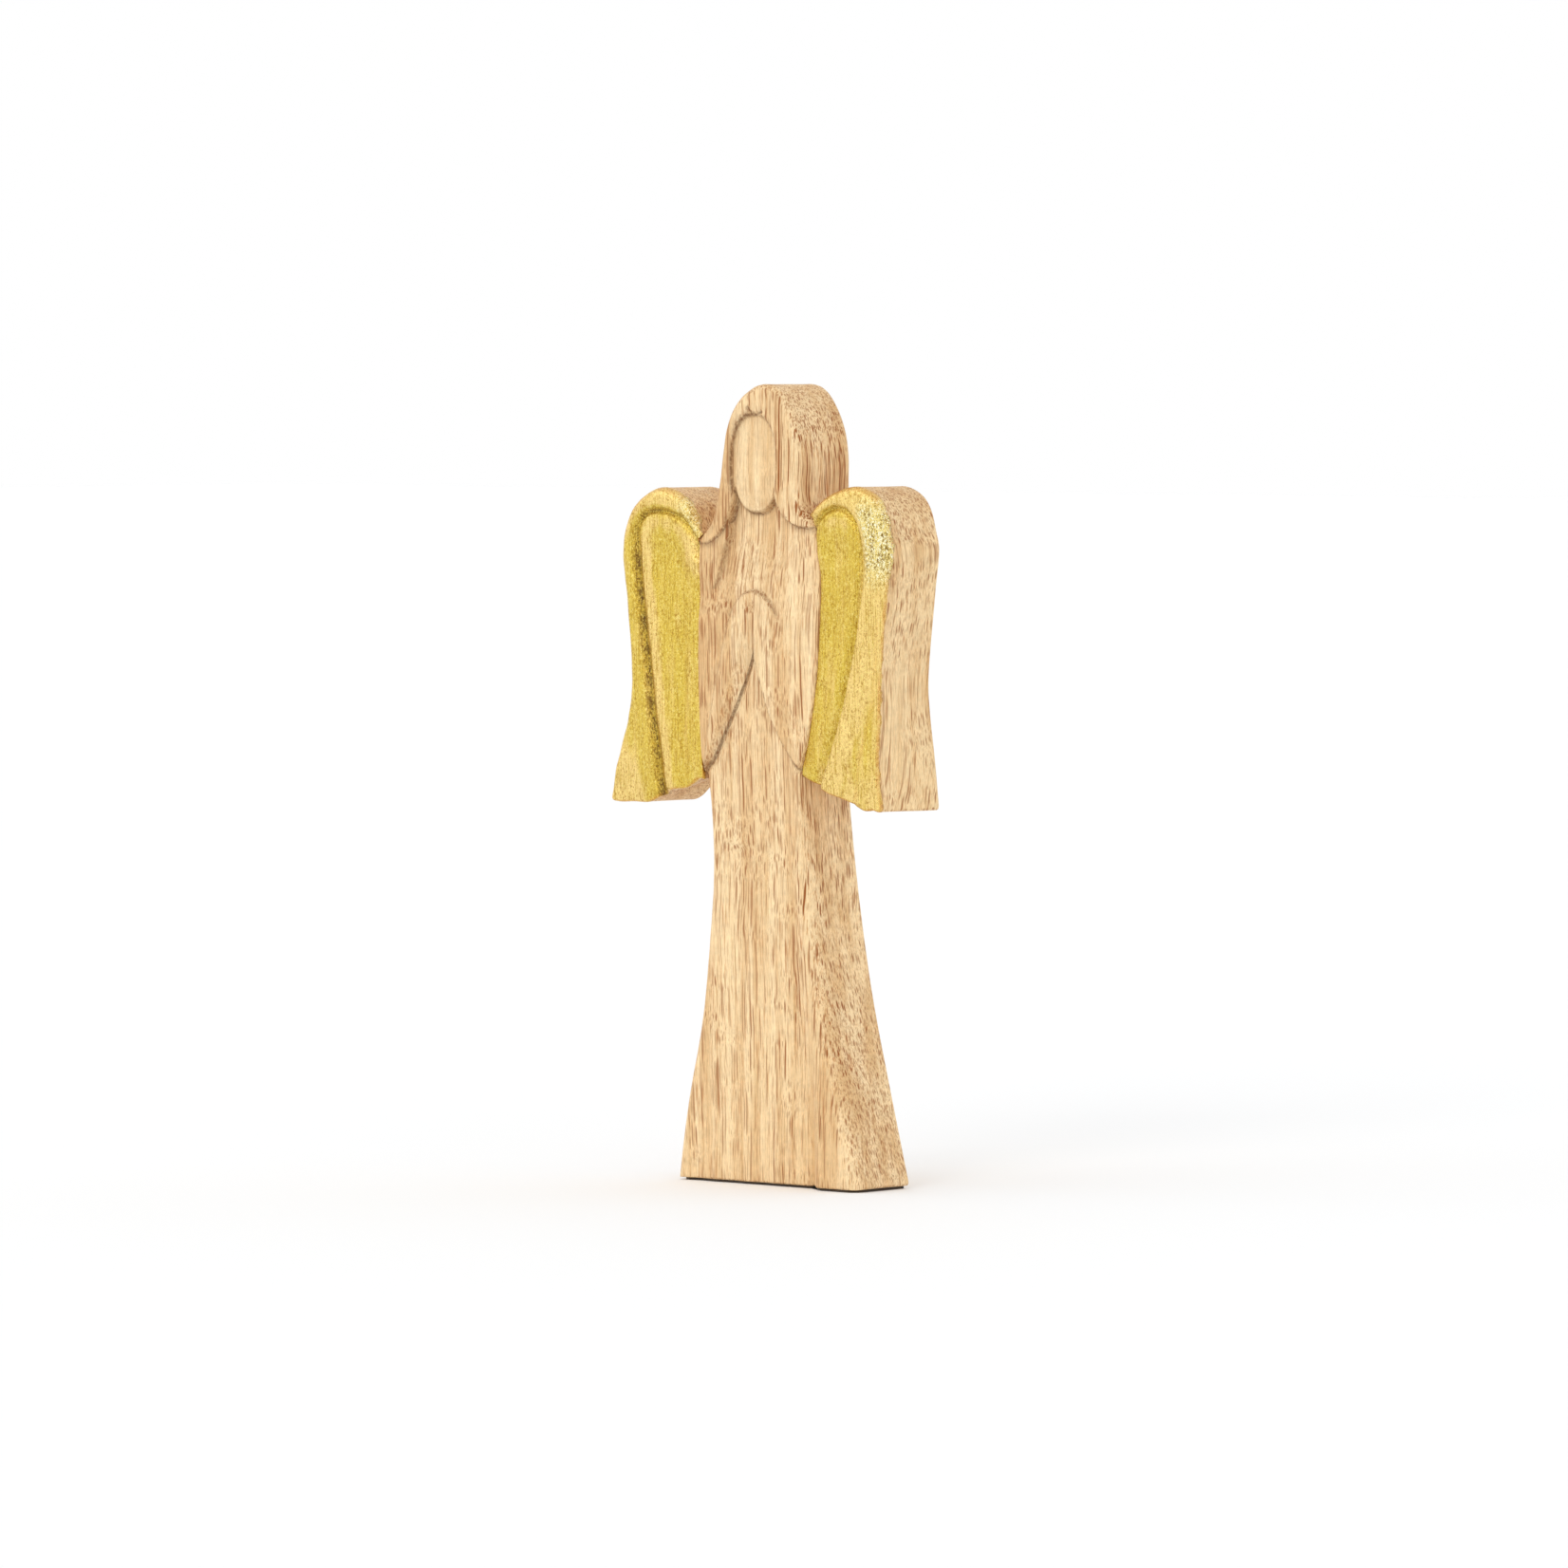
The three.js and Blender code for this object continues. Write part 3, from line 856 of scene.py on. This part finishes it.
def leaning_grain(f, here):
    """Places along the grain, which leans more in and out than sideways, and nearly straight ones."""
    lean = f.noise(here, (0.02, 0.02, 0.015), 1.0).outputs["Color"]
    weave = f.noise(here, (0.07, 0.07, 0.06), 1.0).outputs["Color"]
    lean = f.vector("MULTIPLY", f.vector("SUBTRACT", lean, (0.5, 0.5, 0.5)), (5, 13, 0))
    weave = f.vector("MULTIPLY", f.vector("SUBTRACT", weave, (0.5, 0.5, 0.5)), (1.0, 2.6, 0))
    grain = f.vector("ADD", f.vector("ADD", here, lean), weave)
    straight = f.vector("ADD", here, f.vector("SCALE", lean, 0.09))
    return grain, straight


def open_vessels(f, grain, end):
    """Where the wood's vessels are cut open: dashes along the fibres, dots across them."""
    clusters = f.noise(grain, (0.13, 0.13, 0.016), 2.0).outputs["Fac"]
    across = f.math("MULTIPLY", end, 0.3)
    pores = []
    for scale, radius, rarity in VESSELS:
        cells = f.node("TexVoronoi", {"voronoi_dimensions": "2D", "feature": "F1"}, Vector=grain)
        f.feed(cells, "Scale", scale)
        lottery = f.node("SeparateColor", Color=cells.outputs["Color"])
        present = f.math("MULTIPLY_ADD", clusters, 2.3, f.math("ADD", lottery.outputs[0], across))
        present = f.range(present, rarity + 1.0, rarity + 1.1)
        size = f.math("MULTIPLY_ADD", lottery.outputs[1], radius * 0.9, radius * 0.7)
        hollow = f.math("DIVIDE", cells.outputs["Distance"], size)
        tint = f.math("MULTIPLY_ADD", lottery.outputs[2], 0.5, 0.5)
        pores.append(f.math("MULTIPLY", f.math("MULTIPLY", f.range(hollow, 1.25, 0.5), present), tint))
    dashes = f.math("MAXIMUM", pores[0], f.math("MULTIPLY", pores[1], 0.8))
    ends = f.node("TexVoronoi", {"voronoi_dimensions": "3D", "feature": "F1"})
    f.feed(ends, "Vector", f.stretched(grain, (1.05, 1.05, 0.62)))
    f.feed(ends, "Scale", 1.0)
    shown = f.range(end, 0.12, 0.6, 0.0, 0.58)
    dots = f.math("MULTIPLY", f.range(ends.outputs["Distance"], 0.4, 0.2), shown)
    return f.math("MAXIMUM", dashes, dots)


def pale_hardwood(name, offset, cream, use_cut=True):
    """Upright grain: open vessels, streaks, growth bands and dark cuts, darkened partly in the wood itself
    and partly with painted shade in the creases.
    """
    f = Finish(name)
    here = f.place(offset)
    grain, straight = leaning_grain(f, here)
    end = f.attribute("end_grain")
    bold = f.math("MULTIPLY_ADD", f.attribute("calm"), -0.6, 1.0)
    vessel = f.math("MULTIPLY", open_vessels(f, grain, end), bold)
    bands = f.noise(straight, (0.16, 0.16, 0.006), 3.0, 0.55).outputs["Fac"]
    streak = f.noise(straight, (1.7, 1.7, 0.04), 3.0, 0.6).outputs["Fac"]
    rust = f.noise(straight, (1.1, 1.1, 0.05), 3.0, 0.7).outputs["Fac"]
    lines = f.noise(straight, (3.2, 3.2, 0.07), 2.0, 0.6).outputs["Fac"]
    fibre = f.noise(grain, (5.5, 5.5, 0.35), 3.0, 0.7).outputs["Fac"]
    figure = f.noise(here, (0.16, 0.16, 0.34), 3.0, 0.6).outputs["Fac"]
    base = f.mix(f.range(bands, 0.36, 0.66, 0.0, 0.75), cream, TAN)
    base = f.mix(f.range(streak, 0.48, 0.72, 0.0, 0.5), base, TAN)
    base = f.mix(f.math("MULTIPLY", f.range(rust, 0.57, 0.7, 0.0, 0.7), bold), base, RUST)
    base = f.mix(f.math("MULTIPLY", f.range(lines, 0.52, 0.68, 0.0, 0.6), bold), base, STREAK)
    shade = f.math("MULTIPLY_ADD", f.math("SUBTRACT", fibre, 0.5), 0.95, 1.0)
    shade = f.math("MULTIPLY_ADD", f.math("SUBTRACT", figure, 0.5), 0.3, shade)
    tone = f.node("CombineColor", Red=shade, Green=shade, Blue=shade).outputs[0]
    base = f.mix(1.0, base, tone, "MULTIPLY")
    base = f.mix(f.math("MULTIPLY", end, 0.4), base, f.mix(1.0, base, END_GRAIN_TINT, "MULTIPLY"))
    base = f.mix(f.math("MULTIPLY", vessel, 0.92), base, PORE)
    if use_cut:
        # Painted shade in the creases, together with the cuts' own darkening, broken up by noise.
        crease_patchiness = f.noise(here, (1.2, 1.2, 0.8), 3.0, 0.7).outputs["Fac"]
        base = f.mix(f.math("MULTIPLY", f.attribute("cut"), f.range(crease_patchiness, 0.3, 0.6, 0.4, 0.95)), base, CREASE_SHADE_AND_GRIME)
    f.link("Base Color", base)
    f.link("Roughness", f.range(streak, 0.2, 0.8, 0.5, 0.66))
    f.shader.inputs["Specular IOR Level"].default_value = 0.35
    f.relief(f.math("MULTIPLY_ADD", vessel, -1.0, f.math("MULTIPLY", fibre, 0.5)), 0.28, 0.08)
    return f.material


LEAF_YELLOW = rgb(228, 198, 84)
LEAF_STRAW = rgb(249, 216, 136)
LEAF_SHADE = rgb(196, 158, 56)
# Painted sparkle.
LEAF_PAINTED_SPARKLE = rgb(255, 238, 150)
LEAF_SPOT = rgb(166, 120, 34)
# A painted highlight on the rim, its painted glints, and the dark specks within it.
LEAF_PAINTED_HIGHLIGHT = rgb(255, 235, 140)
LEAF_PAINTED_GLINT = rgb(255, 253, 225)
LEAF_HIGHLIGHT_SPECK = rgb(122, 84, 20)
LEAF_RED_EDGE = rgb(214, 140, 62)
# Painted shade in the groove round a wing's lobe, over leaf rubbed through.
GROOVE_SHADE_BROWN = rgb(112, 74, 20)
BARE_GROUND = rgb(206, 148, 84)


def gold_leaf(name, offset):
    """Soft gold leaf: brushed and crinkled, cloudy in tone, broken over pores, edges and cuts, with painted
    highlights, painted sparkle and painted shade in the cuts.
    """
    f = Finish(name)
    here = f.place(offset)
    cloud = f.noise(here, (0.3, 0.3, 0.045), 4.0, 0.65).outputs["Fac"]
    brushed = f.noise(here, (2.4, 2.4, 0.08), 3.0, 0.6).outputs["Fac"]
    crinkle = f.noise(here, (1.9, 1.9, 1.1), 5.0, 0.7).outputs["Fac"]
    speckle = f.noise(here, (1.7, 1.7, 1.1), 4.0, 0.8).outputs["Fac"]
    tarnish = f.noise(here, (0.5, 0.5, 0.2), 3.0, 0.6).outputs["Fac"]
    flash = f.attribute("flash")
    wear = f.attribute("wear")
    cut = f.attribute("cut")
    # The pale mask paints a lighter straw tone as painted highlight on crests and rims; the cloud noise
    # varies the tone at random.
    pick = f.math("MULTIPLY_ADD", f.attribute("pale"), 0.55, f.math("MULTIPLY", cloud, 0.9))
    base = f.mix(f.range(pick, 0.4, 0.8), LEAF_YELLOW, LEAF_STRAW)
    base = f.mix(f.range(brushed, 0.46, 0.66, 0.0, 0.8), base, LEAF_SHADE)
    edge = f.math("MULTIPLY", f.range(wear, 0.02, 0.3, 0.0, 0.5), f.range(tarnish, 0.3, 0.6))
    base = f.mix(edge, base, LEAF_RED_EDGE)
    # Painted sparkle: bright specks over the whole leaf.
    base = f.mix(f.range(speckle, 0.47, 0.37, 0.0, 0.6), base, LEAF_PAINTED_SPARKLE)
    spots = f.math("MULTIPLY", f.range(speckle, 0.52, 0.6), f.range(tarnish, 0.34, 0.62, 0.25, 0.8))
    base = f.mix(spots, base, LEAF_SPOT)
    # A painted highlight patch on the rim, with painted glints and dark specks in it; the same mask also
    # makes the leaf smoother and more crinkled there.
    highlight_speck = f.range(f.math("MULTIPLY_ADD", tarnish, 0.35, speckle), 0.7, 0.75)
    base = f.mix(f.math("MULTIPLY", flash, 0.7), base, LEAF_PAINTED_HIGHLIGHT)
    base = f.mix(f.math("MULTIPLY", flash, f.range(speckle, 0.5, 0.4)), base, LEAF_PAINTED_GLINT)
    base = f.mix(f.math("MULTIPLY", f.math("MULTIPLY", flash, highlight_speck), 0.9), base, LEAF_HIGHLIGHT_SPECK)
    broken = f.math("MULTIPLY", f.range(crinkle, 0.47, 0.62), f.range(wear, 0.25, 0.95))
    # Painted shade in the groove round the lobe, where the leaf is also rubbed through to a dark ground.
    rubbed_and_shaded = f.math("MULTIPLY", cut, f.range(f.math("MULTIPLY_ADD", tarnish, 0.4, speckle), 0.67, 0.74))
    base = f.mix(f.math("MULTIPLY", rubbed_and_shaded, 0.95), base, GROOVE_SHADE_BROWN)
    f.link("Base Color", f.mix(broken, base, BARE_GROUND))
    bare = f.math("MAXIMUM", broken, f.math("MULTIPLY", rubbed_and_shaded, 0.7))
    f.link("Metallic", f.range(bare, 0.2, 0.8, 0.9, 0.1))
    f.link("Roughness", f.math("MULTIPLY_ADD", flash, -0.1, f.range(crinkle, 0.3, 0.7, 0.2, 0.38)))
    rough = f.math("MULTIPLY_ADD", f.math("MAXIMUM", flash, cut), 1.4, 0.55)
    height = f.math("MULTIPLY", f.math("MULTIPLY_ADD", speckle, 0.6, crinkle), rough)
    f.relief(f.math("MULTIPLY_ADD", brushed, 0.45, height), 0.8, 0.36)
    return f.material


def dark_felt(name):
    """Pressed felt: short matted fibres."""
    f = Finish(name)
    mat = f.noise(f.place((0, 0, 0)), (2.6, 2.6, 2.6), 5.0, 0.7).outputs["Fac"]
    f.link("Base Color", f.mix(f.range(mat, 0.3, 0.7), rgb(40, 31, 22), rgb(74, 58, 40)))
    f.shader.inputs["Roughness"].default_value = 0.95
    f.shader.inputs["Sheen Weight"].default_value = 0.3
    f.relief(mat, 0.6, 0.15)
    return f.material


# ---------------------------------------------------------------- floor, light and camera

CAMERA_AZIMUTH = math.radians(41.5)
CAMERA_ELEVATION = math.radians(2.47)
CAMERA_DISTANCE = 3.1176
LENS = 228.8
AIM = Vector((1.65, 3.75, HEIGHT / 2)) * MM


def make_camera():
    data = bpy.data.cameras.new("camera")
    data.lens = LENS
    data.sensor_width = 36
    data.clip_end = 60
    camera = bpy.data.objects.new("camera", data)
    back = Vector((
        math.sin(CAMERA_AZIMUTH) * math.cos(CAMERA_ELEVATION),
        -math.cos(CAMERA_AZIMUTH) * math.cos(CAMERA_ELEVATION),
        math.sin(CAMERA_ELEVATION),
    ))
    camera.location = AIM + back * CAMERA_DISTANCE
    camera.rotation_euler = back.to_track_quat("Z", "Y").to_euler()
    bpy.context.scene.collection.objects.link(camera)
    bpy.context.scene.camera = camera


def make_sun(name, toward, power, softness, colour=(1, 1, 1)):
    data = bpy.data.lights.new(name, "SUN")
    data.energy = power
    data.angle = math.radians(softness)
    data.color = colour
    lamp = bpy.data.objects.new(name, data)
    lamp.rotation_euler = Vector(toward).to_track_quat("Z", "Y").to_euler()
    bpy.context.scene.collection.objects.link(lamp)


def make_world():
    """An even white room, a little dimmer from the right and from behind the camera."""
    world = bpy.data.worlds.new("room")
    bpy.context.scene.world = world
    world.use_nodes = True
    nodes, links = world.node_tree.nodes, world.node_tree.links
    nodes.clear()
    out = nodes.new("ShaderNodeOutputWorld")
    glow = nodes.new("ShaderNodeBackground")
    where = nodes.new("ShaderNodeTexCoord")
    tilt = nodes.new("ShaderNodeVectorMath")
    tilt.operation = "DOT_PRODUCT"
    tilt.inputs[1].default_value = (-0.72, 0.55, 0.42)
    ramp = nodes.new("ShaderNodeMapRange")
    for key, number in (("From Min", -0.95), ("From Max", 0.35), ("To Min", 0.5), ("To Max", 1.0)):
        ramp.inputs[key].default_value = number
    links.new(where.outputs["Generated"], tilt.inputs[0])
    links.new(tilt.outputs["Value"], ramp.inputs["Value"])
    links.new(ramp.outputs[0], glow.inputs["Strength"])
    glow.inputs["Color"].default_value = (1, 1, 1, 1)
    links.new(glow.outputs[0], out.inputs[0])


def make_floor():
    mesh = bpy.data.meshes.new("floor")
    reach = 12
    corners = [(-reach, -reach, 0), (reach, -reach, 0), (reach, reach, 0), (-reach, reach, 0)]
    mesh.from_pydata(corners, [], [(0, 1, 2, 3)])
    floor = bpy.data.objects.new("floor", mesh)
    bpy.context.scene.collection.objects.link(floor)
    f = Finish("white paper")
    f.shader.inputs["Base Color"].default_value = (0.925, 0.93, 0.935, 1)
    f.shader.inputs["Roughness"].default_value = 0.9
    f.shader.inputs["Specular IOR Level"].default_value = 0.1
    mesh.materials.append(f.material)


# ---------------------------------------------------------------- the figurine


def finish_piece(piece, material, node):
    piece.data.materials.clear()
    piece.data.materials.append(material)
    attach(piece, "root")
    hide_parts(node)


def make_body(outline, wood):
    radius = evened(body_rounding(outline[:, 0], outline[:, 1]), 7)
    walls = face_rings()
    for line in (HAIRLINE, SLEEVE_UNDER_LEFT, SLEEVE_UNDER_RIGHT):
        walls += offsets(line, (-0.4, 0.0, 0.4))
    walls += offsets(PARTING, (-0.3, 0.0, 0.3))
    piece = board_mesh("angel_body", outline, body_front, radius, walls, 5, FOOT_EDGE, body_calm)
    finish_piece(piece, wood, "carved_body")


def close_seam(loop, body_outline):
    """The wing's inner edge brought up to the body, with only a glue line between."""
    line = np.vstack([body_outline, body_outline[:1]])
    off, _ = beside(loop[:, 0], loop[:, 1], line)
    gap = np.abs(off)
    shift = np.where(gap < 0.6, gap - SEAM, 0)
    return loop + outward(loop) * shift[:, None]


def trim_by_hand(piece):
    """The left wing's lower inner corner hangs a little, and the right wing's outer one is cut in."""
    for vertex in piece.data.vertices:
        x, y, z = (value / MM for value in vertex.co)
        toward_front = smooth(BACK - 4, FRONT + 3, y)
        hang = smooth(-44, -26, x) * smooth(142, 128, z) * (x < 0)
        cut_in = smooth(42, 57, x) * smooth(158, 124, z)
        vertex.co.z -= INNER_HANG * MM * hang * toward_front
        vertex.co.x -= OUTER_CUT * MM * cut_in * toward_front


def make_wing(node, body_outline, wood, leaf):
    loop = close_seam(smooth_outline(node), body_outline)
    loop = eased(loop, lambda x, z: (np.abs(x) > 44) & (z < 132), 4)
    x, z = loop.T
    hem = smooth(128, 125, z) * smooth(58.6, 54, np.abs(x)) * smooth(21, 27, np.abs(x))
    loop[:, 1] += 0.4 * hem * (1 + wander(x, x, 15, 31))
    radius = evened(wing_rounding(loop[:, 0], loop[:, 1]), 4)
    front = wing_front(node)
    walls = offsets(LOBE[node], (-1.0, -0.5, 0.0, 0.5))
    seed = 9 if node == "left_wing" else 15
    block = board_mesh("angel_" + node, loop, front, radius, walls, seed)
    finish_piece(block, wood, node)
    skin = leaf_mesh("angel_" + node + "_gilding", loop, front, radius, walls, seed)
    finish_piece(skin, leaf, node + "_gilding")
    trim_by_hand(block)
    trim_by_hand(skin)


def pad_edge(left, right):
    """The pad's outline, anticlockwise from above: it follows the skirt's carved foot along the front."""
    front_x = np.arange(left + PAD_CORNER, right - PAD_CORNER, PAD_STEP)
    front_y = body_front(front_x, np.full(len(front_x), FOOT + 0.6))[0] + FRONT + 0.9
    near, far = front_y[0] + PAD_CORNER, front_y[-1] + PAD_CORNER
    back = BACK - 1
    turn = np.linspace(0, math.pi / 2, 12)
    near_corner = [(left + PAD_CORNER * (1 - math.cos(t)), near - PAD_CORNER * math.sin(t)) for t in turn]
    far_corner = [(right - PAD_CORNER * (1 - math.sin(t)), far - PAD_CORNER * math.cos(t)) for t in turn]
    right_side = [(right, y) for y in np.arange(far + PAD_STEP, back, PAD_STEP)]
    rear = [(x, back) for x in np.arange(right - 0.3, left, -PAD_STEP)]
    left_side = [(left, y) for y in np.arange(back - PAD_STEP, near, -PAD_STEP)]
    return np.array(near_corner + list(zip(front_x, front_y)) + far_corner + right_side + rear + left_side)


def make_pad(body_outline, felt):
    """The foot's own outline in felt, a hair smaller, with a worn edge."""
    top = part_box("base_pad")[1].z / MM - 0.02
    foot = body_outline[body_outline[:, 1] < FOOT + 0.3]
    edge = pad_edge(foot[:, 0].min() + 0.8, foot[:, 0].max() - 1.4)
    edge = edge + np.random.default_rng(77).normal(0, PAD_FRAY, edge.shape)
    normal = outward(edge)
    rings = ((0.0, 0.6), (0.0, 0.12), (0.12, 0.0), (top - 0.1, 0.0), (top, 0.15), (top, 0.6))
    verts = [np.column_stack([edge - normal * inset, np.full(len(edge), height)]) for height, inset in rings]
    middle = edge.mean(0)
    verts.append(np.array([[*middle, 0.0], [*middle, top]]))
    n = len(edge)
    under = n * len(rings)
    last = under - n
    faces = []
    for i in range(n):
        j = (i + 1) % n
        faces += [[k + i, k + j, k + n + j, k + n + i] for k in range(0, last, n)]
        faces += [[under, j, i], [under + 1, last + i, last + j]]
    piece = mesh_piece("felt_pad", np.vstack(verts), faces)
    finish_piece(piece, felt, "base_pad")


def restain(node, material):
    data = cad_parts[node].data
    data.materials.clear()
    data.materials.append(material)


make_camera()
make_world()
make_floor()
make_sun("window", (0.24, -0.86, 0.46), 0.52, 26, (1, 0.98, 0.95))
make_sun("bounce", (-0.8, -0.5, 0.6), 0.36, 80)
make_sun("side", (0.95, -0.25, 0.3), 0.42, 60)

body_outline = smooth_outline("carved_body")
body_outline[body_outline[:, 1] < FOOT + 0.1, 1] -= PAD_GLUE
body_outline = eased(body_outline, lambda x, z: (z < 12) & (x > 30), 3)
body_wood = pale_hardwood("pale hardwood body", (40, 15, 7), CREAM)
wing_wood = pale_hardwood("pale hardwood wings", (-85, 60, 31), WING_CREAM)
dowel_wood = pale_hardwood("dowel wood", (12, -40, 90), CREAM, use_cut=False)
leaf = gold_leaf("gold leaf", (3, 9, 2))
felt = dark_felt("dark felt")

make_body(body_outline, body_wood)
for wing in ("left_wing", "right_wing"):
    make_wing(wing, body_outline, wing_wood, leaf)
for side in ("left", "right"):
    for level in ("upper", "lower"):
        restain(f"{side}_{level}_dowel", dowel_wood)
make_pad(body_outline, felt)

bpy.context.scene.view_settings.view_transform = "Standard"
bpy.context.view_layer.update()
